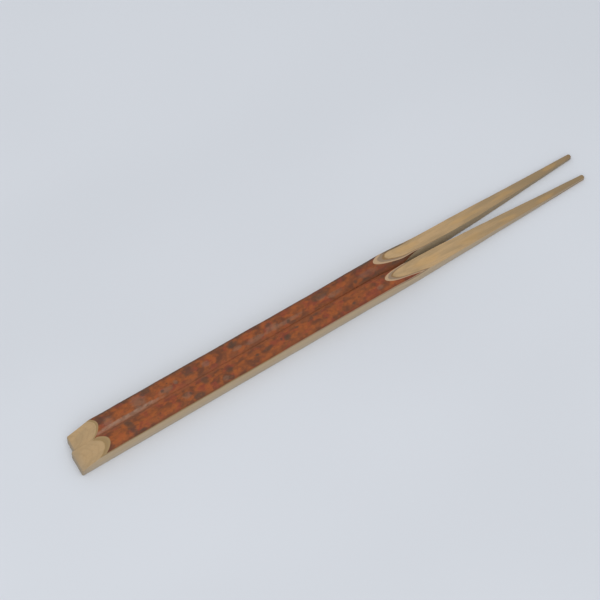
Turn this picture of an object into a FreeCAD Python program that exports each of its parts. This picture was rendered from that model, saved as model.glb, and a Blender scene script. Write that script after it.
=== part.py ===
import FreeCAD, Part
import os
import Sketcher

# A pair of chopsticks whittled from a branch, with the bark left on the rounded top of each.
# X runs along the sticks towards the tips, +Y is the left stick's side, Z is up.
# Both sticks lie on z = 0 and touch along the plane y = 0.
# Each stick is drawn with its handle end at x = 0 and is then placed in the pair.
# A stave is sawn to the plan outline and cut on top; the round branch then limits it,
# so the arched edges between bark and wood come about as they do under a knife.

SIZES = [
    ("stick_length", 240.5, "one stick, handle end to tip"),
    ("stick_width", 8.0, "across one stick at the handle"),
    ("crown_height", 7.7, "underside to the top of the bark"),
    ("pair_shift", 2.0, "how far the right stick lies back from the left one"),
    ("bark_thickness", 0.7, "outer and inner bark together"),
    ("handle_radius", 8.8, "radius of the branch at the handle end"),
    ("taper_radius", 5.5, "radius of the branch where the taper takes over"),
    ("left_handle_crown", 4.7, "crown of the left stick from its inner side, at the handle"),
    ("left_taper_crown", 5.3, "the same where the taper takes over"),
    ("right_handle_crown", 3.8, "crown of the right stick from its inner side, at the handle"),
    ("right_taper_crown", 4.0, "the same where the taper takes over"),
    ("handle_end_height", 3.5, "height left at the handle end below the slanted cut"),
    ("left_slant", 12.8, "length of the left stick's slanted cut"),
    ("right_slant", 15.0, "length of the right stick's slanted cut"),
    ("end_skew", 0.8, "how far the sawn handle ends are out of square"),
    ("left_taper_start", 140.0, "where the left stick's top cut leaves the crown of the bark"),
    ("right_taper_start", 141.3, "the same on the right stick"),
    ("knee_start", 163.0, "where the steep entry turns into the long taper"),
    ("knee_height", 4.5, "height of the stick there"),
    ("tip_height", 1.7, "height at the tip"),
    ("tip_width", 1.8, "width at the tip"),
    ("top_hollow", 0.35, "how far the long taper is hollowed below a straight line"),
    ("inner_cut_start", 150.0, "where the inner side leaves the other stick"),
    ("left_outer_cut_start", 180.0, "where the left stick's outer side starts to taper"),
    ("right_outer_cut_start", 155.0, "where the right stick's outer side starts to taper"),
    ("left_waist", 110.0, "where the left stick's outer side is pared back furthest"),
    ("left_waist_inset", 0.75, "how far it is pared back there"),
    ("left_tip_offset", 6.3, "middle of the left tip from the inner side"),
    ("right_tip_offset", 5.1, "middle of the right tip from the inner side"),
    ("inner_bend", 190.0, "where the inner taper turns steeper"),
    ("left_inner_inset", 1.95, "how far the left stick's inner side is cut back there"),
    ("right_inner_inset", 1.45, "how far the right stick's inner side is cut back there"),
    ("tip_rounding", 0.7, "rounding of the tip's end"),
    ("core_height", 2.0, "height up to which the stave is solid wood from side to side"),
    ("handle_bevel", 0.4, "bevel of the edges of the sawn handle end"),
    ("foot_bevel", 0.3, "bevel of the long lower edges"),
    ("saw_margin", 2.0, "how far each cut reaches past the wood"),
]

document = FreeCAD.newDocument("chopsticks")
sheet = document.addObject("Spreadsheet::Sheet", "Sizes")
for row, (alias, size, note) in enumerate(SIZES, start=1):
    sheet.set(f"A{row}", note)
    sheet.set(f"B{row}", str(size))
    sheet.setAlias(f"B{row}", alias)
document.recompute()


def plane_of(body, role):
    """The origin plane of a body by its role."""
    for feature in body.Origin.OriginFeatures:
        if feature.Role == role:
            return feature
    raise ValueError(f"{body.Label} has no {role}")


def new_body(label):
    body = document.addObject("PartDesign::Body", label)
    body.Label = label
    return body


def new_sketch(body, name, role):
    """A sketch on one of a body's origin planes."""
    sketch = body.newObject("Sketcher::SketchObject", name)
    sketch.AttachmentSupport = [(plane_of(body, role), "")]
    sketch.MapMode = "FlatFace"
    return sketch


def number(sketch, formula):
    """The present value of a formula on the sheet's sizes."""
    return float(sketch.evalExpression(formula))


def bind(sketch, kind, *place, formula):
    """Add a constraint whose size follows a formula."""
    constraint = Sketcher.Constraint(kind, *place, number(sketch, formula))
    index = sketch.addConstraint(constraint)
    sketch.setExpression(f"Constraints[{index}]", formula)


def draw_outline(sketch, corners):
    """Draw a closed outline from (across, up) formulas; a third one bows the side that starts there."""
    points = [FreeCAD.Vector(number(sketch, c[0]), number(sketch, c[1]), 0) for c in corners]
    sides = []
    for index, corner in enumerate(corners):
        following = (index + 1) % len(corners)
        start, end = points[index], points[following]
        if len(corner) == 2:
            sides.append((sketch.addGeometry(Part.LineSegment(start, end), False), 1, 2))
            continue
        bow = number(sketch, corner[2])
        leftward = FreeCAD.Vector(start.y - end.y, end.x - start.x, 0).normalize()
        middle = (start + end) * 0.5 + leftward * bow
        if bow < 0:
            sides.append((sketch.addGeometry(Part.Arc(start, middle, end), False), 1, 2))
        else:
            sides.append((sketch.addGeometry(Part.Arc(end, middle, start), False), 2, 1))
    for index, (side, first, last) in enumerate(sides):
        following = (index + 1) % len(sides)
        next_side, next_first, _ = sides[following]
        sketch.addConstraint(Sketcher.Constraint("Coincident", side, last, next_side, next_first))
        bind(sketch, "DistanceX", side, first, formula=corners[index][0])
        bind(sketch, "DistanceY", side, first, formula=corners[index][1])
        if len(corners[index]) == 3:
            across, up, bow = corners[index]
            next_across, next_up = corners[following][:2]
            chord = f"(({next_across}) - ({across}))^2 + (({next_up}) - ({up}))^2"
            bind(sketch, "Radius", side, formula=f"({chord}) / (8 * abs({bow})) + abs({bow}) / 2")


def make_blank(side, outward):
    """The stave with its plan outline, its slanted handle cut and its long top taper, not yet rounded."""
    body = new_body(f"{side}_blank")
    tip = f"Sizes.{side}_tip_offset"
    inner_end = "0" if side == "left" else "Sizes.end_skew"
    outer_end = "Sizes.end_skew" if side == "left" else "0"
    out = f"{outward} * "
    blunt_start = "Sizes.stick_length - Sizes.tip_rounding"
    plan = new_sketch(body, "plan", "XY_Plane")
    outline = [
        (inner_end, "0"),
        ("Sizes.inner_cut_start", "0"),
        ("Sizes.inner_bend", f"{out}Sizes.{side}_inner_inset"),
        (blunt_start, f"{out}({tip} - Sizes.tip_width / 2)", f"{-outward} * Sizes.tip_rounding"),
        (blunt_start, f"{out}({tip} + Sizes.tip_width / 2)"),
        (f"Sizes.{side}_outer_cut_start", f"{out}Sizes.stick_width"),
    ]
    if side == "left":
        outline.append(("Sizes.left_waist", f"{out}(Sizes.stick_width - Sizes.left_waist_inset)"))
    draw_outline(plan, outline + [(outer_end, f"{out}Sizes.stick_width")])
    stave = body.newObject("PartDesign::Pad", "stave")
    stave.Profile = plan
    stave.setExpression("Length", "Sizes.crown_height + Sizes.saw_margin")
    stave.Label = f"{side}_sawn_stave"

    top = "(Sizes.crown_height + 2 * Sizes.saw_margin)"
    slant = f"((Sizes.crown_height - Sizes.handle_end_height) / Sizes.{side}_slant)"
    taper_start = f"Sizes.{side}_taper_start"
    entry = f"((Sizes.crown_height - Sizes.knee_height) / (Sizes.knee_start - {taper_start}))"
    nose_end = "Sizes.stick_length + Sizes.tip_rounding / 5"
    past_tip = "Sizes.stick_length + Sizes.saw_margin"
    profile = new_sketch(body, "handle_cut_profile", "XZ_Plane")
    draw_outline(profile, [
        ("-Sizes.saw_margin", f"Sizes.handle_end_height - Sizes.saw_margin * {slant}"),
        (f"({top} - Sizes.handle_end_height) / {slant}", top),
        ("-Sizes.saw_margin", top),
    ])
    cut_away(body, "handle_cut", profile)
    profile = new_sketch(body, "taper_profile", "XZ_Plane")
    draw_outline(profile, [
        (f"{taper_start} - ({top} - Sizes.crown_height) / {entry}", top),
        ("Sizes.knee_start", "Sizes.knee_height", "-Sizes.top_hollow"),
        (f"{nose_end} - Sizes.tip_rounding", "Sizes.tip_height", "Sizes.tip_rounding * (1 - sqrt(0.5))"),
        (nose_end, "Sizes.tip_height - Sizes.tip_rounding"),
        (past_tip, "Sizes.tip_height - Sizes.tip_rounding"),
        (past_tip, top),
    ])
    cut_away(body, "long_taper", profile)
    document.recompute()

    reach = number(plan, "Sizes.end_skew + Sizes.saw_margin")
    flat = number(plan, "Sizes.foot_bevel") / 10
    length = number(plan, blunt_start)

    def along_foot(ends):
        return all(end.z < flat for end in ends) and any(reach < end.x < length - flat for end in ends)

    def at_handle_end(ends):
        return all(end.x < reach for end in ends) and any(end.z > reach / 2 for end in ends)

    ease_edges(body, "eased_foot", "Sizes.foot_bevel", along_foot)
    ease_edges(body, "eased_handle_end", "Sizes.handle_bevel", at_handle_end)
    return body


def cut_away(body, name, profile):
    """Cut a profile right through the body, to both sides of its plane."""
    pocket = body.newObject("PartDesign::Pocket", name)
    pocket.Profile = profile
    pocket.Type = "ThroughAll"
    pocket.SideType = "Symmetric"


def ease_edges(body, name, size, wanted):
    """Bevel the edges whose two ends pass a test on their places."""
    base = body.Tip
    names = []
    for index, edge in enumerate(base.Shape.Edges, start=1):
        ends = [vertex.Point for vertex in edge.Vertexes]
        if len(ends) == 2 and wanted(ends):
            names.append(f"Edge{index}")
    bevel = body.newObject("PartDesign::Chamfer", name)
    bevel.Base = (base, names)
    bevel.setExpression("Size", size)
    document.recompute()


def make_branch(side, outward, layer, inset):
    """The branch down to one layer: its bark surface, or the wood surface under the bark.

    It is a cone that lies with its crown level and drifts sideways, on a block that fills
    the stave below it.
    """
    narrowing = "((Sizes.handle_radius - Sizes.taper_radius) / Sizes.knee_start)"
    drift = f"(Sizes.{side}_taper_crown - Sizes.{side}_handle_crown) / Sizes.knee_start"
    start_radius = f"(Sizes.handle_radius + {narrowing} * Sizes.saw_margin)"
    reach = "(Sizes.stick_length + 2 * Sizes.saw_margin)"
    start_height = f"Sizes.crown_height - {start_radius} * cos(atan({narrowing}))"
    cone = document.addObject("Part::Cone", f"{side}_{layer}_cone")
    cone.setExpression("Radius1", f"{start_radius} - {inset}")
    cone.setExpression("Radius2", f"{start_radius} - {narrowing} * {reach} - {inset}")
    cone.setExpression("Height", reach)
    cone.setExpression("Placement", (
        f"placement(vector(-Sizes.saw_margin; {outward} * Sizes.{side}_handle_crown; {start_height});"
        f" rotation({outward} * atan({drift}); 90 deg - atan({narrowing}); 0))"))

    block = document.addObject("Part::Box", f"{side}_{layer}_core")
    block.setExpression("Length", reach)
    block.setExpression("Width", "2 * Sizes.stick_width")
    block.setExpression("Height", "Sizes.core_height + Sizes.saw_margin")
    block.setExpression("Placement", (
        f"placement(vector(-Sizes.saw_margin; ({outward} / 2 - 1) * Sizes.stick_width;"
        f" -Sizes.saw_margin); rotation(0; 0; 0))"))
    return boolean("Part::Fuse", f"{side}_{layer}_form", cone, block)


def boolean(kind, label, base, tool):
    result = document.addObject(kind, label)
    result.Base = base
    result.Tool = tool
    result.Label = label
    return result


def make_stick(side, outward, place):
    """One stick: the stave up to the bark surface, parted into its wood and its bark."""
    blank = make_blank(side, outward)
    bark_form = make_branch(side, outward, "bark", "0")
    wood_form = make_branch(side, outward, "wood", "Sizes.bark_thickness")
    stave = boolean("Part::Common", f"{side}_stave", blank, bark_form)
    wood = boolean("Part::Common", f"{side}_chopstick", stave, wood_form)
    bark = boolean("Part::Cut", f"{side}_bark", stave, wood_form)
    for piece in (wood, bark):
        piece.setExpression("Placement.Base.x", place)
    return [wood, bark]


def check(item):
    if {"Invalid", "Error"} & set(item.State):
        raise RuntimeError(f"{item.Label} failed: {item.State}")


nodes = make_stick("left", 1, "-(Sizes.stick_length - Sizes.pair_shift) / 2")
nodes += make_stick("right", -1, "-(Sizes.stick_length + Sizes.pair_shift) / 2")
document.recompute()

for item in document.Objects:
    check(item)
os.makedirs("parts", exist_ok=True)
for node in nodes:
    if node.Shape.isNull() or not node.Shape.isValid():
        raise RuntimeError(f"{node.Label} has no sound shape")
    node.Shape.exportStep(f"parts/{node.Label}.step")
    print(node.Label, len(node.Shape.Solids), round(node.Shape.Volume, 2))
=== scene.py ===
"""Dresses a pair of whittled branch chopsticks: pale cut wood below, bark left on the rounded tops."""

import math

import bmesh
import bpy
import numpy as np
from bpy.props import FloatProperty, FloatVectorProperty, PointerProperty
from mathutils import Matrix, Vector, noise


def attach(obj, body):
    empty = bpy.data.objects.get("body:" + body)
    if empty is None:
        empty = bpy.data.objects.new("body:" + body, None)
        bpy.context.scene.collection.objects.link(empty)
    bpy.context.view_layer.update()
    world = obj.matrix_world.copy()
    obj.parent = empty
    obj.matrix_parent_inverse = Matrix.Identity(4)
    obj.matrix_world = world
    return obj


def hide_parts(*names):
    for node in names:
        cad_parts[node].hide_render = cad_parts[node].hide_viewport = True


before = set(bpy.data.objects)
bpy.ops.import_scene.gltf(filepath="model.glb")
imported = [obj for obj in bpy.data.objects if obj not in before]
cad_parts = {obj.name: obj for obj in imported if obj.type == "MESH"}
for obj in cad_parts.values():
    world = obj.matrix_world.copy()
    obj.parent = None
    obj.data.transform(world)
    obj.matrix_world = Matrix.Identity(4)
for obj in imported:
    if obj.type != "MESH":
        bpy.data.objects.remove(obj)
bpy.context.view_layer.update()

bl_info = {
    "name": "Whittled Chopsticks",
    "version": (1, 0, 0),
    "blender": (4, 5, 0),
    "location": "3D View > Sidebar > Chopsticks",
    "description": "Wood, bark and a stage for a pair of chopsticks cut from a branch",
    "category": "Object",
}

MM = 0.001
SIDES = ("left", "right")


def screen_colour(red, green, blue):
    """A colour given as it looks on a screen, 0 to 255, as the linear values that a finish needs."""
    shares = (channel / 255 for channel in (red, green, blue))
    return tuple(s / 12.92 if s <= 0.04045 else ((s + 0.055) / 1.055) ** 2.4 for s in shares)


def length(name, description, default):
    return FloatProperty(name=name, description=description, default=default, unit="LENGTH", precision=5)


def colour(name, description, *channels):
    return FloatVectorProperty(
        name=name, description=description, default=screen_colour(*channels),
        subtype="COLOR", size=3, min=0, max=1)


def share(name, description, default):
    return FloatProperty(
        name=name, description=description, default=default, min=0, max=1, subtype="FACTOR")


class BranchSizes(bpy.types.PropertyGroup):
    """The round of the branch that both sticks were cut from, and how finely it is worked."""

    crown_height: length("Crown height", "Underside of a stick to the top of its bark", 7.7 * MM)
    handle_radius: length("Handle radius", "Radius of the branch at the handle end", 8.8 * MM)
    narrowing: FloatProperty(
        name="Narrowing", description="How much the radius shrinks per metre towards the tips",
        default=3.3 / 163)
    bark_thickness: length("Bark thickness", "Outer and inner bark together", 0.7 * MM)
    left_end: length("Left handle end", "Place of the left stick's handle end along the pair", -119.25 * MM)
    right_end: length("Right handle end", "The same for the right stick", -121.25 * MM)
    left_crown: length("Left crown", "Crown line of the left stick from the sticks' joint", 4.7 * MM)
    right_crown: length("Right crown", "Crown line of the right stick from that joint", -3.8 * MM)
    left_drift: FloatProperty(
        name="Left drift", description="How much the left crown line moves across per metre",
        default=0.6 / 163)
    right_drift: FloatProperty(
        name="Right drift", description="How much the right crown line moves across per metre",
        default=-0.2 / 163)
    taper_start: length("Taper start", "Handle end to where the top cut leaves the bark", 140 * MM)
    wood_cell: length("Wood cell", "Spacing of the surface divisions of the wood", 0.8 * MM)
    bark_cell: length("Bark cell", "Spacing of the surface divisions of the bark", 0.45 * MM)
    unevenness: length("Unevenness", "How far the hand-cut faces wander from true", 0.07 * MM)
    settling: length("Settling", "Height over which the wandering fades towards the underside", 1.5 * MM)
    bark_relief: length("Bark relief", "Depth of the low bumps of the bark", 0.09 * MM)
    stick_width: length("Stick width", "Joint to the outer side of a stick", 8 * MM)
    joint_shift: length("Joint shift", "How far off the middle the joint runs at the handle end", 1.45 * MM)
    joint_run: length("Joint run", "Handle end to where the joint is back in the middle", 11 * MM)
    bend: length("Bend", "Place along the pair where the facing sides part", 30.7 * MM)
    parting: FloatProperty(name="Parting", description="How fast the facing sides part", default=0.05)
    left_lean: length("Left lean", "How far the left facing side leans back at its top", 1.35 * MM)
    right_lean: length("Right lean", "The same for the right stick, only near the bend", 0.85 * MM)
    right_lean_run: length("Right lean run", "Bend to where the right lean has faded, both ways", 15 * MM)
    lean_full: length("Lean full", "Place of the left stick's full lean", 40 * MM)
    lean_end: length("Lean end", "Place where the lean has faded", 112 * MM)
    lean_width: length("Lean width", "How far the lean reaches from a facing side into the top", 3.5 * MM)
    lean_height: length("Lean height", "Height at which a facing side leans back fully", 4.5 * MM)


class WoodFinish(bpy.types.PropertyGroup):
    """Colours of the cut wood, with painted light and shade on its upright sides."""

    heart: colour("Heart", "Freshly cut face", 184, 153, 112)
    shade: colour("Shade", "Duller streaks and blotches", 160, 135, 100)
    # Partly paler wood and partly painted light: this colour is lifted on the upright long sides to stand
    # in for the light falling on them.
    pale_wood_and_side_light: colour("Long side", "Paler wood of the long sides", 181, 160, 131)
    # Painted shade: greys and darkens the long sides low down, near the table, where they sit in shade.
    foot_shade: colour("Foot", "Greyer wood near the table", 172, 161, 146)
    # Painted shade: darkens the sides where the sticks face each other, which lie in the shade of the gap
    # between them.
    facing_side_shade: colour("Inner side", "Duller wood where the sticks face each other", 147, 132, 108)
    end_grain: colour("End grain", "Sawn handle ends", 150, 136, 116)
    ochre: colour("Ochre", "Warmer blotches on the tapers", 190, 150, 92)
    worn_tip: colour("Worn tip", "Handled wood at the tips", 132, 113, 85)
    fleck: colour("Fleck", "Fine brown flecks", 120, 92, 62)
    roughness: share("Roughness", "Roughness of the cut wood", 0.6)


class BarkFinish(bpy.types.PropertyGroup):
    """Colours of the bark and of its cut edge, with painted shade along the far edge and the joint and
    painted light along the joint.
    """

    skin: colour("Skin", "Orange brown of the outer bark", 125, 68, 34)
    deep_skin: colour("Deep skin", "Darker red brown", 83, 47, 30)
    bright_skin: colour("Bright skin", "Orange patches", 154, 82, 34)
    red_skin: colour("Red skin", "Redder patches", 139, 60, 38)
    scuff: colour("Scuff", "Greyish pink rubbed patches", 126, 96, 78)
    streak: colour("Streak", "Long rubbed streak beside the joint", 150, 124, 106)
    painted_valley_light: colour("Valley", "Bark along the joint between the sticks", 142, 86, 56)
    # Painted light: a lighter bark colour along the joint between the crowns, lifting the shade that falls
    # in the hollow there.
    pore: colour("Pore", "Small dark pits", 58, 44, 32)
    # Dark bark for the dark marks and for the thin bark line at the far edge; also painted shade on bark
    # turning away along the far edge, and in the joint.
    dark_bark_and_shade: colour("Shadow edge", "Weathered bark along the far edge", 60, 52, 42)
    rim: colour("Rim", "Pale outer ring of the cut bark", 178, 149, 118)
    inner_ring: colour("Inner ring", "Grey ring of the cut bark", 140, 119, 98)
    growth_line: colour("Growth line", "Thin brown line between bark and wood", 134, 102, 62)
    handle_ring: colour("Handle ring", "Darker ring at the handle cuts", 146, 121, 80)
    roughness: share("Roughness", "Roughness of the bark", 0.5)


class StageSettings(bpy.types.PropertyGroup):
    """The table, the light and the camera."""

    table: colour("Table", "Pale table top", 211, 215, 222)
    sky_strength: FloatProperty(
        name="Sky strength", description="Light from all round", default=0.72, min=0)
    lamp_power: FloatProperty(
        name="Lamp power", description="Power of the wide lamp", default=6.8, min=0, unit="POWER")
    lens: FloatProperty(name="Lens", description="Focal length", default=132, unit="CAMERA")
    aim: FloatVectorProperty(
        name="Aim", description="Point on the table that the camera looks at",
        default=(-9.77 * MM, 11.24 * MM, 0), unit="LENGTH", size=3)
    heading: FloatProperty(
        name="Heading", description="Turn of the camera round the sticks",
        default=math.radians(-34.51), unit="ROTATION")
    elevation: FloatProperty(
        name="Elevation", description="Height of the camera above the horizon",
        default=math.radians(56.46), unit="ROTATION")
    distance: length("Distance", "Camera to the point that it looks at", 864.5 * MM)
    lamp_width: length("Lamp width", "Side of the square lamp", 1.5)
    lamp_place: FloatVectorProperty(
        name="Lamp place", description="Middle of the lamp, which faces the sticks",
        default=(-0.35, -0.45, 1.0), unit="LENGTH", size=3)
    table_reach: length("Table reach", "Middle of the table top to its edge", 3.0)


class Strand:
    """A value in a finish while it is mixed. Arithmetic on it adds the nodes that it needs."""

    def __init__(self, tree, socket):
        self.tree, self.socket = tree, socket

    def node(self, kind, output, settings=None, places=None):
        """Add a node, set it up, fill its sockets with values or strands, and hand back one output."""
        made = self.tree.nodes.new(kind)
        for name, value in (settings or {}).items():
            setattr(made, name, value)
        for place, value in (places or {}).items():
            socket = made.inputs[place]
            if isinstance(value, Strand):
                self.tree.links.new(value.socket, socket)
            else:
                socket.default_value = value
        return Strand(self.tree, made.outputs[output])

    def work(self, operation, *values):
        """Add a Math node for some values or strands."""
        return self.node("ShaderNodeMath", 0, {"operation": operation}, dict(enumerate(values)))

    def __add__(self, other):
        return self.work("ADD", self, other)

    def __sub__(self, other):
        return self.work("SUBTRACT", self, other)

    def __mul__(self, other):
        return self.work("MULTIPLY", self, other)

    def __abs__(self):
        return self.work("ABSOLUTE", self)

    def __radd__(self, other):
        return self.work("ADD", other, self)

    def __rsub__(self, other):
        return self.work("SUBTRACT", other, self)

    def __rmul__(self, other):
        return self.work("MULTIPLY", other, self)

    def wave(self):
        """A wave between 0 and 1 as this value grows."""
        return self.work("SINE", self) * 0.5 + 0.5

    def ramp(self, low, high, start=0.0, end=1.0):
        """Smoothly from start to end while this value goes from low to high."""
        return self.node("ShaderNodeMapRange", 0, {"interpolation_type": "SMOOTHSTEP"},
                         {0: self, 1: low, 2: high, 3: start, 4: end})

    def bump(self, low, high, soft):
        """1 between two values, falling to 0 outside them over a soft width."""
        return self.ramp(low - soft, low + soft) * self.ramp(high - soft, high + soft, 1.0, 0.0)

    def grain(self, along, across, offset=0.0, detail=2.0):
        """Noise of this position from 0 to 1, with patches of a given length and width in millimetres."""
        stretch = (1 / (along * MM), 1 / (across * MM), 1 / (across * MM))
        place = self.node("ShaderNodeVectorMath", 0, {"operation": "MULTIPLY_ADD"},
                          {0: self, 1: stretch, 2: (offset, offset * 0.7, offset * 1.3)})
        return self.node("ShaderNodeTexNoise", 0, None, {"Vector": place, "Scale": 1.0, "Detail": detail})

    def mix(self, base, top):
        """Lay one colour over another by this share."""
        opaque = [value if isinstance(value, Strand) else (*value, 1.0) for value in (base, top)]
        return self.node("ShaderNodeMix", 2, {"data_type": "RGBA", "clamp_factor": True},
                         {0: self, 6: opaque[0], 7: opaque[1]})


def new_finish(name):
    """An empty material, with its shader and a strand to start from."""
    finish = bpy.data.materials.new(name)
    finish.use_nodes = True
    tree = finish.node_tree
    return finish, tree.nodes["Principled BSDF"], Strand(tree, None)


class Ground:
    """What every finish on a stick starts from: the place on the stick, the depth and the facing."""

    def __init__(self, start):
        self.place = start.node("ShaderNodeTexCoord", "Object")
        self.x, self.y, self.z = (
            start.node("ShaderNodeSeparateXYZ", axis, None, {0: self.place}) * (1 / MM) for axis in "XYZ")
        # The right stick's bark runs on a little past the cut along its near edge.
        run_on = self.x.bump(26, 40, 5) * self.y.ramp(-5.5, -7.5) * 0.4
        self.depth = start.node("ShaderNodeAttribute", "Fac", {"attribute_name": "depth"}) - run_on
        facing = start.node("ShaderNodeNewGeometry", "Normal")
        self.facing_x, self.facing_y = (
            start.node("ShaderNodeSeparateXYZ", axis, None, {0: facing}) for axis in "XY")
        self.side = abs(self.facing_y).ramp(0.5, 0.8)
        self.inner = self.side * (self.facing_y * self.y).ramp(0.0, -0.5)

    def grain(self, *sizes, **settings):
        return self.place.grain(*sizes, **settings)

    def mark(self, x, y, half_length, half_width, ragged):
        """1 inside an oval on the pair with a ragged edge, in millimetres."""
        along = (self.x - x) * (1 / half_length)
        across = (self.y - y) * (1 / half_width)
        return (along * along + across * across + ragged).ramp(0.2, 1.8, 1.0, 0.0)


# Marks on the sticks, in millimetres: place along the pair, place across it, half length, half width.
OCHRE_MARKS = (
    (40.0, -4.2, 6.0, 1.4), (37.0, 5.0, 5.0, 1.2), (66.0, 4.8, 7.0, 1.0), (86.0, 5.4, 5.0, 1.0),
    (62.0, -5.0, 6.0, 1.2), (80.0, -5.0, 4.0, 1.0), (99.0, -5.2, 4.0, 0.9), (110.0, 6.2, 3.0, 0.8),
)


def cut_wood(ground, wood):
    """The colour and the fine relief of bare wood all over a stick, with painted light and shade on its
    upright sides.
    """
    blotches = ground.grain(12, 2.4, 3.0)
    fibres = ground.grain(8, 0.22, 7.0, 3.0)
    fine = ground.grain(2.2, 0.3, 17.0)
    flecks = ground.grain(1.1, 0.22, 11.0)
    rings = (ground.depth * (2 * math.pi / 0.8) + ground.grain(30, 2.5, 5.0) * 6).wave()
    side = ground.side
    end = (0.0 - ground.facing_x).ramp(0.6, 0.9)
    tint = (blotches.ramp(0.36, 0.68) * 0.8).mix(wood.heart, wood.shade)
    tint = (ground.x.ramp(-95, -70, 0.45, 0.0)).mix(tint, wood.shade)
    # Paler wood with painted light on the upright long sides.
    tint = side.mix(tint, wood.pale_wood_and_side_light)
    # Painted shade low on the long sides, towards the table.
    tint = (side * ground.z.ramp(4.0, 0.0) * 0.8).mix(tint, wood.foot_shade)
    tint = (ground.x.ramp(-117.0, -121.0) * 0.5).mix(tint, wood.end_grain)
    # Painted shade on the sides that face each other across the gap between the sticks.
    tint = (ground.inner * 0.8).mix(tint, wood.facing_side_shade)
    tint = end.mix(tint, wood.end_grain)
    tint = (fibres.ramp(0.46, 0.72) * 0.3).mix(tint, wood.shade)
    tint = (fine.ramp(0.5, 0.8) * 0.25).mix(tint, wood.pale_wood_and_side_light)
    tint = (rings.ramp(0.55, 1.0) * 0.09).mix(tint, wood.fleck)
    tint = (flecks.ramp(0.6, 0.8) * 0.35).mix(tint, wood.fleck)
    tint = (ground.x.ramp(35, 118) * (0.85 - side * 0.5)).mix(tint, wood.worn_tip)
    tint = (ground.x.ramp(117, 121) * 0.4).mix(tint, wood.fleck)
    ragged = (blotches - 0.5) * 3 + (fibres - 0.5) * 1.5
    for mark in OCHRE_MARKS:
        tint = (ground.mark(*mark, ragged) * (1 - side) * 0.3).mix(tint, wood.ochre)
    return tint, fibres * 0.5 + fine * 0.3 + flecks * 0.2


def cut_rings(ground, wood_tint, bark):
    """The cut edge of the bark in its rings, over the colour of the wood below it."""
    right = ground.y.ramp(0.3, -0.3)
    taper = ground.x.ramp(-40, -20)
    stretch = taper * (right * 0.28 + 0.9) + (1 - taper) * (2.1 - right * 1.1)
    ring = ground.depth * stretch + (ground.grain(2.5, 0.8, 2.0) - 0.5) * 0.14
    # The facing sides of the tapers are plain wood.
    ring = ring + ground.inner * ground.x.ramp(20, 30) * 0.8
    tint = ring.ramp(0.24, 0.34).mix(bark.rim, bark.inner_ring)
    tint = (ring.ramp(0.52, 0.6) * 0.85).mix(tint, bark.growth_line)
    tint = ((1 - taper) * 0.85).mix(tint, bark.handle_ring)
    tint = (ground.grain(1.2, 0.3, 31.0).ramp(0.5, 0.75) * 0.3).mix(tint, bark.inner_ring)
    tint = ring.ramp(0.66, 0.78).mix(tint, wood_tint)
    # A thin line of bark is left along the left stick's far edge.
    far_edge = ground.x.bump(28, 38, 4) * ground.y.ramp(6.6, 7.3) * (1 - ground.side)
    return (far_edge * 0.8).mix(tint, bark.dark_bark_and_shade)


def finish_up(shader, start, tint, roughness, relief, strength, reach):
    """Link a colour, a roughness and a bump to a shader that is not very glossy."""
    start.tree.links.new(tint.socket, shader.inputs["Base Color"])
    start.tree.links.new(roughness.socket, shader.inputs["Roughness"])
    shader.inputs["Specular IOR Level"].default_value = 0.25
    normal = start.node("ShaderNodeBump", 0, None,
                        {"Strength": strength, "Distance": reach, "Height": relief})
    start.tree.links.new(normal.socket, shader.inputs["Normal"])


def wood_finish(wood, bark):
    finish, shader, start = new_finish("whittled_wood")
    ground = Ground(start)
    tint, relief = cut_wood(ground, wood)
    tint = cut_rings(ground, tint, bark)
    roughness = relief * 0.2 + (wood.roughness - 0.1)
    finish_up(shader, start, tint, roughness, relief, 0.35, 0.06 * MM)
    return finish


# Dark marks on the bark, some of them painted shade: the long thin one at -96.5, -0.3 is the shaded joint
# between the sticks, and the broad one at 36.0, 1.2 darkens the left stick's bark at the gap by its taper.
DARK_AND_SHADED_MARKS = (
    (-105.3, 5.3, 2.3, 1.8), (-108.8, 5.8, 1.8, 2.0), (-96.5, -0.3, 12.2, 0.4), (-97.0, -3.9, 1.4, 3.8),
    (-93.4, -7.3, 1.5, 0.6), (-85.0, 5.8, 2.3, 1.1), (-78.9, 2.7, 0.7, 0.6), (-66.0, 4.7, 2.3, 2.0),
    (-73.2, -3.6, 0.5, 0.5), (-70.5, -4.2, 0.5, 0.7), (-68.3, -6.8, 2.3, 1.1), (-63.1, -2.3, 1.6, 1.8),
    (-52.6, -3.8, 1.4, 1.4), (-53.9, -7.0, 1.2, 0.8), (-45.8, 4.9, 2.0, 1.5), (-40.2, -4.4, 0.7, 0.5),
    (-35.1, -4.2, 1.9, 0.9), (-29.5, 4.6, 1.4, 0.8), (-28.7, -3.7, 0.5, 0.5), (-26.3, -4.3, 1.5, 1.1),
    (-20.3, 1.0, 1.6, 0.5), (-21.6, 2.0, 0.7, 0.5), (-20.7, -2.4, 0.8, 0.5), (-13.7, -2.2, 0.8, 0.7),
    (-11.4, -1.2, 0.9, 0.5), (-5.4, 5.0, 4.6, 1.6), (4.0, -5.8, 0.9, 0.5), (10.4, 2.4, 0.8, 0.7),
    (15.2, 1.1, 4.1, 0.6), (20.5, 1.3, 2.3, 0.8), (30.7, 1.3, 4.1, 0.6), (36.0, 1.2, 12.0, 1.3),
)
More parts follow.
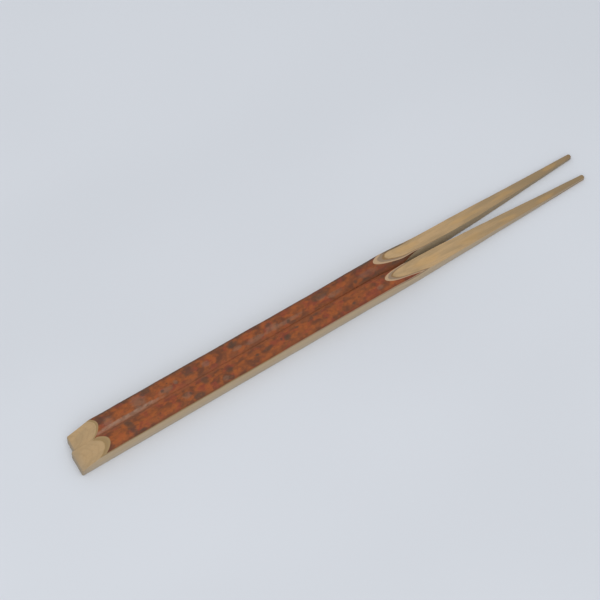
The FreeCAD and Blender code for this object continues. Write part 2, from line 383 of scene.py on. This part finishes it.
PALE_MARKS = (
    (-102.9, 3.1, 2.3, 1.8), (-89.0, 3.9, 2.8, 2.6),
    (-77.6, 2.4, 3.0, 1.1), (-72.7, 3.3, 0.8, 0.9), (-72.0, -4.3, 2.0, 1.2), (-58.9, 3.6, 1.6, 1.2),
    (-55.7, -6.1, 1.1, 0.9), (-44.8, 2.8, 1.8, 0.9), (-36.7, 2.4, 4.5, 0.9), (-28.6, 3.2, 2.7, 1.1),
    (-23.3, 2.2, 8.1, 0.7), (-5.1, 3.7, 2.0, 0.9), (0.6, 2.4, 3.4, 0.8), (16.9, 2.8, 4.1, 1.2),
    (16.8, -5.6, 1.4, 0.9),
)
RUBBED_STREAKS = ((-96.6, 1.0, 15.0, 0.75),)
BRIGHT_MARKS = (
    (-102.8, -4.6, 3.4, 2.6), (-95.6, 3.6, 4.1, 2.0), (-85.0, -5.3, 7.4, 2.3), (-81.5, 1.5, 3.0, 1.1),
    (-49.2, -5.2, 4.1, 2.0), (-39.8, 4.9, 4.1, 1.2), (-32.6, -5.8, 4.1, 1.4), (-17.7, 4.2, 4.7, 1.2),
    (-17.7, -4.5, 3.4, 2.0), (-2.7, -4.0, 3.4, 2.0), (2.8, 4.1, 3.4, 1.2), (7.6, -4.0, 4.1, 2.0),
    (23.6, 3.5, 1.4, 1.5),
)


def bark_finish(wood, bark):
    finish, shader, start = new_finish("branch_bark")
    ground = Ground(start)
    clouds = ground.grain(6, 3.6, 1.0, detail=2.0)
    patches = ground.grain(3.6, 2.6, 4.0, detail=2.0)
    reds = ground.grain(4.4, 3.2, 21.0, detail=1.0)
    mottle = ground.grain(2.0, 1.5, 14.0, detail=2.0)
    spots = ground.grain(1.6, 1.0, 33.0, detail=1.0)
    streaks = ground.grain(5, 0.6, 6.0, detail=2.0)
    pits = ground.grain(1.5, 0.9, 8.0, detail=1.0)
    ragged = (ground.grain(2.2, 1.3, 26.0, detail=3.0) - 0.5) * 2.6

    skin = (clouds.ramp(0.42, 0.6) * 0.7).mix(bark.skin, bark.deep_skin)
    skin = (reds.ramp(0.48, 0.6) * 0.6).mix(skin, bark.red_skin)
    skin = (patches.ramp(0.44, 0.64) * 0.7).mix(skin, bark.bright_skin)
    for marks, amount, tint in (
            (BRIGHT_MARKS, 0.4, bark.bright_skin),
            (PALE_MARKS, 0.46, bark.scuff),
            (RUBBED_STREAKS, 0.72, bark.streak),
            (DARK_AND_SHADED_MARKS, 0.65, bark.dark_bark_and_shade)):
        for x, y, half_length, half_width in marks:
            skin = (ground.mark(x, y, half_length, half_width, ragged) * amount).mix(skin, tint)
    skin = (mottle.ramp(0.44, 0.72) * 0.38).mix(skin, bark.deep_skin)
    skin = (streaks.ramp(0.5, 0.74) * 0.2).mix(skin, bark.deep_skin)
    skin = (spots.ramp(0.54, 0.76) * 0.32).mix(skin, bark.bright_skin)
    skin = (ground.x.ramp(-4, 24) * ground.y.ramp(-1.0, 1.5) * 0.35).mix(skin, bark.deep_skin)
    # Painted shade where the bark's crown turns away from the light along its far edge.
    far = (ground.facing_y + ragged * 0.03).ramp(0.12, 0.42) * ground.y.ramp(4.0, 6.0)
    near = (ground.y + ragged * 0.25).ramp(-6.7, -7.8)
    skin = (far * 0.8).mix(skin, bark.dark_bark_and_shade)
    skin = (near * 0.4).mix(skin, bark.deep_skin)
    # Painted light along the joint, lifting the shade in the hollow between the two crowns.
    painted_valley_light = abs(ground.y + ragged * 0.3).ramp(1.8, 0.0)
    skin = (painted_valley_light * 0.5).mix(skin, bark.painted_valley_light)
    skin = (pits.ramp(0.68, 0.8) * 0.6).mix(skin, bark.pore)

    cut = ground.depth.ramp(0.01, 0.06)
    wood_tint = cut_wood(ground, wood)[0]
    tint = cut.mix(skin, cut_rings(ground, wood_tint, bark))
    relief = patches * 0.3 + mottle * 0.4 + streaks * 0.3 - pits.ramp(0.66, 0.8) * 0.6
    roughness = relief * 0.2 + (bark.roughness - 0.05)
    finish_up(shader, start, tint, roughness, relief, 0.5, 0.1 * MM)
    return finish


# What a face is: a flat or a cut, the round surface of the bark, or the round of the wood below it.
PLAIN, BARK_SKIN, WOOD_SKIN = range(3)
# A face of a round looks outwards within this angle and has its corners this near to the round.
ROUND_TURN = math.radians(25)
ROUND_MISS = 0.05 * MM
# A face of a top cut leans along the pair by more than the first, and sideways by less than the second.
CUT_SLOPE = 0.2
CUT_TILT = 0.02
# Faces that turn by less than the first are one flat face, and edges by less than the second are smooth.
FLAT = math.radians(0.3)
CREASE = math.radians(18)
# Points nearer than the first are one point, and trueing up moves none further than the second.
WELD = 1e-7
LONGEST_SHIFT = 0.6 * MM
# A face is upright where its normal reaches this far along or across the pair.
UPRIGHT = 0.7


class Branch:
    """Where a point of one stick lies in the round of the branch."""

    def __init__(self, side):
        sizes = bpy.context.scene.chopstick_branch
        self.sizes = sizes
        self.end = getattr(sizes, side + "_end")
        self.crown = getattr(sizes, side + "_crown")
        self.drift = getattr(sizes, side + "_drift")

    def radius(self, point):
        return self.sizes.handle_radius - self.sizes.narrowing * (point.x - self.end)

    def spoke(self, point):
        """From the middle of the branch out to a point."""
        reach = point.x - self.end
        return Vector((0, point.y - self.crown - self.drift * reach,
                       point.z - self.sizes.crown_height + self.radius(point)))

    def depth(self, point):
        """How deep a point lies below the surface of the bark."""
        return self.radius(point) - self.spoke(point).length

    def layer_depth(self, kind):
        """How deep a round lies below the surface of the bark."""
        return self.sizes.bark_thickness if kind == WOOD_SKIN else 0.0

    def kind(self, face):
        """Whether a face is part of the round of the bark, of the round of the wood below it, or plain."""
        middle = face.calc_center_median()
        outward = self.spoke(middle).normalized()
        if abs(face.normal.dot(outward)) < math.cos(ROUND_TURN):
            return PLAIN
        on_top_cut = middle.x - self.end > self.sizes.taper_start or abs(face.normal.x) > CUT_SLOPE
        if on_top_cut and abs(face.normal.y) < CUT_TILT:
            return PLAIN
        for kind in (BARK_SKIN, WOOD_SKIN):
            layer = self.layer_depth(kind)
            if all(abs(self.depth(corner.co) - layer) < ROUND_MISS for corner in face.verts):
                return kind
        return PLAIN


def divide(shape, axis, cell, wanted=None):
    """Cut a surface at even stations along one axis."""
    faces = [face for face in shape.faces if wanted is None or wanted(face)]
    direction = Vector((0, 0, 0))
    direction[axis] = 1
    low = min(vertex.co[axis] for vertex in shape.verts)
    high = max(vertex.co[axis] for vertex in shape.verts)
    count = max(2, round((high - low) / cell))
    for station in range(1, count):
        place = direction * (low + (high - low) * station / count)
        edges = dict.fromkeys(edge for face in faces for edge in face.edges)
        corners = dict.fromkeys(vertex for face in faces for vertex in face.verts)
        cut = bmesh.ops.bisect_plane(
            shape, geom=[*corners, *edges, *faces], dist=WELD, plane_co=place, plane_no=direction)
        faces = [item for item in cut["geom"] if isinstance(item, bmesh.types.BMFace)
                 and item.calc_center_median()[axis] > place[axis]]


def true_up(shape, branch):
    """Set the facets of the rounds onto the true round, and keep their rims in the flat cuts."""
    for vertex in shape.verts:
        rounds = {face.material_index for face in vertex.link_faces} - {PLAIN}
        if len(rounds) != 1:
            continue
        outward = branch.spoke(vertex.co).normalized()
        error = branch.depth(vertex.co) - branch.layer_depth(rounds.pop())
        flats = [face.normal for face in vertex.link_faces if face.material_index == PLAIN]
        if flats:
            rows = np.array([outward, *flats])
            shift = Vector(np.linalg.lstsq(rows, np.array([error] + [0] * len(flats)), rcond=1e-3)[0])
        else:
            shift = outward * error
        if shift.length < LONGEST_SHIFT:
            vertex.co += shift


def smooth(value, low, high):
    """Smoothly from 0 to 1 while a value goes from low to high."""
    reached = min(1.0, max(0.0, (value - low) / (high - low)))
    return reached * reached * (3 - 2 * reached)


def part_the_sides(point, sizes, side):
    """Let the joint run off the middle at the handle, and lean the facing sides apart at the taper."""
    off_middle = max(0.0, 1 - (point.x - sizes.right_end) / sizes.joint_run)
    inward = 1 - min(1.0, abs(point.y) / sizes.stick_width)
    across = sizes.joint_shift * off_middle * inward
    inner = max(0.0, point.x - sizes.bend) * sizes.parting
    top_edge = 1 - min(1.0, max(0.0, abs(point.y) - inner) / sizes.lean_width)
    top_edge *= min(1.0, point.z / sizes.lean_height)
    if side == "left":
        lean = smooth(point.x, sizes.bend, sizes.lean_full)
        lean *= max(0.0, 1 - (point.x - sizes.lean_full) / (sizes.lean_end - sizes.lean_full))
        across += sizes.left_lean * lean * top_edge
    else:
        lean = smooth(point.x, sizes.bend - sizes.right_lean_run, sizes.bend)
        lean *= smooth(point.x, sizes.bend + sizes.right_lean_run, sizes.bend)
        across -= sizes.right_lean * lean * top_edge
    return Vector((point.x, point.y + across, point.z))


def waves(point, along, across, start=0.0):
    """A smooth wavy value from -1 to 1, with waves of a given length and width in millimetres."""
    place = Vector((point.x / along, point.y / across, point.z / across)) / MM
    return noise.noise(place + Vector((start, 0, 0)))


def wander(point, sizes, side):
    """The slight unevenness of work done by hand, the same for every piece at a point."""
    point = part_the_sides(point, sizes, side)
    amount = sizes.unevenness
    lift = min(1.0, point.z / sizes.settling)
    return Vector((
        point.x,
        point.y * (1 - amount / sizes.stick_width) + waves(point, 9, 5) * amount,
        point.z * (1 - amount / sizes.crown_height) + waves(point, 9, 5, 3.0) * amount * lift,
    ))


def make_bumpy(point, branch):
    """Sink a point of the bark's surface by the low bumps of the bark."""
    bumps = waves(point, 4, 1.6) * 0.4 + waves(point, 1.6, 0.9) * 0.2
    return point - branch.spoke(point).normalized() * branch.sizes.bark_relief * (0.5 + bumps)


def worked_copy(side, node, name, cell, rough_skin):
    """A finely divided copy of a CAD node, trued to the round of the branch and made uneven by hand."""
    branch = Branch(side)
    shape = bmesh.new()
    shape.from_mesh(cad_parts[node].data)
    bmesh.ops.remove_doubles(shape, verts=shape.verts, dist=WELD)
    bmesh.ops.dissolve_limit(shape, angle_limit=FLAT, verts=shape.verts, edges=shape.edges)
    shape.normal_update()
    for face in shape.faces:
        face.material_index = branch.kind(face)
    for edge in shape.edges:
        kinds = {face.material_index for face in edge.link_faces}
        edge.smooth = edge.calc_face_angle(0) < CREASE and len(kinds) == 1
    divide(shape, 0, cell)
    divide(shape, 1, cell)
    divide(shape, 2, cell, lambda face: max(abs(face.normal.x), abs(face.normal.y)) > UPRIGHT)
    shape.normal_update()
    true_up(shape, branch)

    depth = shape.verts.layers.float.new("depth")
    skin = {vertex for face in shape.faces if face.material_index == BARK_SKIN for vertex in face.verts}
    for vertex in shape.verts:
        vertex[depth] = branch.depth(vertex.co) / MM
        point = vertex.co.copy()
        if rough_skin and vertex in skin:
            point = make_bumpy(point, branch)
        vertex.co = wander(point, branch.sizes, side)
    for face in shape.faces:
        face.material_index = PLAIN
        face.smooth = True
    bmesh.ops.recalc_face_normals(shape, faces=shape.faces)
    mesh = bpy.data.meshes.new(name)
    shape.to_mesh(mesh)
    shape.free()
    piece = bpy.data.objects.new(name, mesh)
    bpy.context.scene.collection.objects.link(piece)
    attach(piece, "root")
    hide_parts(node)
    return piece


class CHOPSTICKS_OT_wood(bpy.types.Operator):
    """Make the two whittled sticks of bare wood"""

    bl_idname = "chopsticks.wood"
    bl_label = "Whittled Wood"

    def execute(self, context):
        finish = wood_finish(context.scene.chopstick_wood, context.scene.chopstick_bark)
        cell = context.scene.chopstick_branch.wood_cell
        for side in SIDES:
            piece = worked_copy(side, side + "_chopstick", side + "_whittled_wood", cell, False)
            piece.data.materials.append(finish)
        return {"FINISHED"}


class CHOPSTICKS_OT_bark(bpy.types.Operator):
    """Make the bark that is left on the rounded tops"""

    bl_idname = "chopsticks.bark"
    bl_label = "Branch Bark"

    def execute(self, context):
        finish = bark_finish(context.scene.chopstick_wood, context.scene.chopstick_bark)
        cell = context.scene.chopstick_branch.bark_cell
        for side in SIDES:
            piece = worked_copy(side, side + "_bark", side + "_branch_bark", cell, True)
            piece.data.materials.append(finish)
        return {"FINISHED"}


# The rays that see the sky at full strength.
DIRECT_RAYS = ("Is Camera Ray", "Is Glossy Ray", "Is Transmission Ray")


class CHOPSTICKS_OT_stage(bpy.types.Operator):
    """Lay a pale table, light it softly and set up the camera"""

    bl_idname = "chopsticks.stage"
    bl_label = "Table, Light and Camera"

    def execute(self, context):
        settings = context.scene.chopstick_stage
        self.lay_table(context, settings)
        self.light(context, settings)
        self.aim_camera(context, settings)
        return {"FINISHED"}

    def lay_table(self, context, settings):
        shape = bmesh.new()
        bmesh.ops.create_grid(shape, x_segments=8, y_segments=8, size=settings.table_reach)
        mesh = bpy.data.meshes.new("table_top")
        shape.to_mesh(mesh)
        shape.free()
        table = bpy.data.objects.new("table_top", mesh)
        context.scene.collection.objects.link(table)
        finish, shader, start = new_finish("pale_table")
        place = start.node("ShaderNodeTexCoord", "Object")
        cool = tuple(channel * 0.97 for channel in settings.table)
        tint = place.grain(120, 90, 2.0, 1.0).ramp(0.3, 0.7).mix(settings.table, cool)
        start.tree.links.new(tint.socket, shader.inputs["Base Color"])
        shader.inputs["Roughness"].default_value = 0.9
        shader.inputs["Specular IOR Level"].default_value = 0.2
        mesh.materials.append(finish)

    def light(self, context, settings):
        world = bpy.data.worlds.new("soft_sky")
        world.use_nodes = True
        sky = world.node_tree.nodes["Background"]
        sky.inputs["Color"].default_value = (0.97, 0.985, 1.0, 1.0)
        start = Strand(world.node_tree, None)
        seen = sum(start.node("ShaderNodeLightPath", ray) for ray in DIRECT_RAYS)
        strength = seen * (1 - settings.sky_strength) + settings.sky_strength
        world.node_tree.links.new(strength.socket, sky.inputs["Strength"])
        context.scene.world = world

        lamp = bpy.data.lights.new("window", "AREA")
        lamp.shape = "SQUARE"
        lamp.size = settings.lamp_width
        lamp.energy = settings.lamp_power
        lamp.color = (1.0, 0.985, 0.96)
        window = bpy.data.objects.new("window", lamp)
        window.location = settings.lamp_place
        window.rotation_euler = (-window.location).to_track_quat("-Z", "Y").to_euler()
        context.scene.collection.objects.link(window)

    def aim_camera(self, context, settings):
        optics = bpy.data.cameras.new("camera")
        optics.lens = settings.lens
        optics.sensor_width = 36
        optics.clip_start = 0.01
        camera = bpy.data.objects.new("camera", optics)
        level = math.cos(settings.elevation) * settings.distance
        camera.location = Vector(settings.aim) + Vector((
            math.sin(settings.heading) * level,
            -math.cos(settings.heading) * level,
            math.sin(settings.elevation) * settings.distance))
        sight = Vector(settings.aim) - camera.location
        camera.rotation_euler = sight.to_track_quat("-Z", "Y").to_euler()
        context.scene.collection.objects.link(camera)
        context.scene.camera = camera
        context.scene.view_settings.view_transform = "Standard"


class CHOPSTICKS_PT_panel(bpy.types.Panel):
    """Lists the steps that dress the chopsticks"""

    bl_label = "Chopsticks"
    bl_idname = "CHOPSTICKS_PT_panel"
    bl_space_type = "VIEW_3D"
    bl_region_type = "UI"
    bl_category = "Chopsticks"

    def draw(self, context):
        for step in STEPS:
            self.layout.operator(step.bl_idname)
        for name in SETTINGS:
            box = self.layout.box()
            group = getattr(context.scene, name)
            for size in group.bl_rna.properties:
                if size.identifier not in ("rna_type", "name"):
                    box.prop(group, size.identifier)


SETTINGS = {
    "chopstick_branch": BranchSizes,
    "chopstick_wood": WoodFinish,
    "chopstick_bark": BarkFinish,
    "chopstick_stage": StageSettings,
}
STEPS = (CHOPSTICKS_OT_wood, CHOPSTICKS_OT_bark, CHOPSTICKS_OT_stage)
CLASSES = (*SETTINGS.values(), *STEPS, CHOPSTICKS_PT_panel)


def register():
    for kind in CLASSES:
        bpy.utils.register_class(kind)
    for name, group in SETTINGS.items():
        setattr(bpy.types.Scene, name, PointerProperty(type=group))


def unregister():
    for name in SETTINGS:
        delattr(bpy.types.Scene, name)
    for kind in reversed(CLASSES):
        bpy.utils.unregister_class(kind)


def main():
    register()
    bpy.ops.chopsticks.wood()
    bpy.ops.chopsticks.bark()
    bpy.ops.chopsticks.stage()


if __name__ == "__main__":
    main()
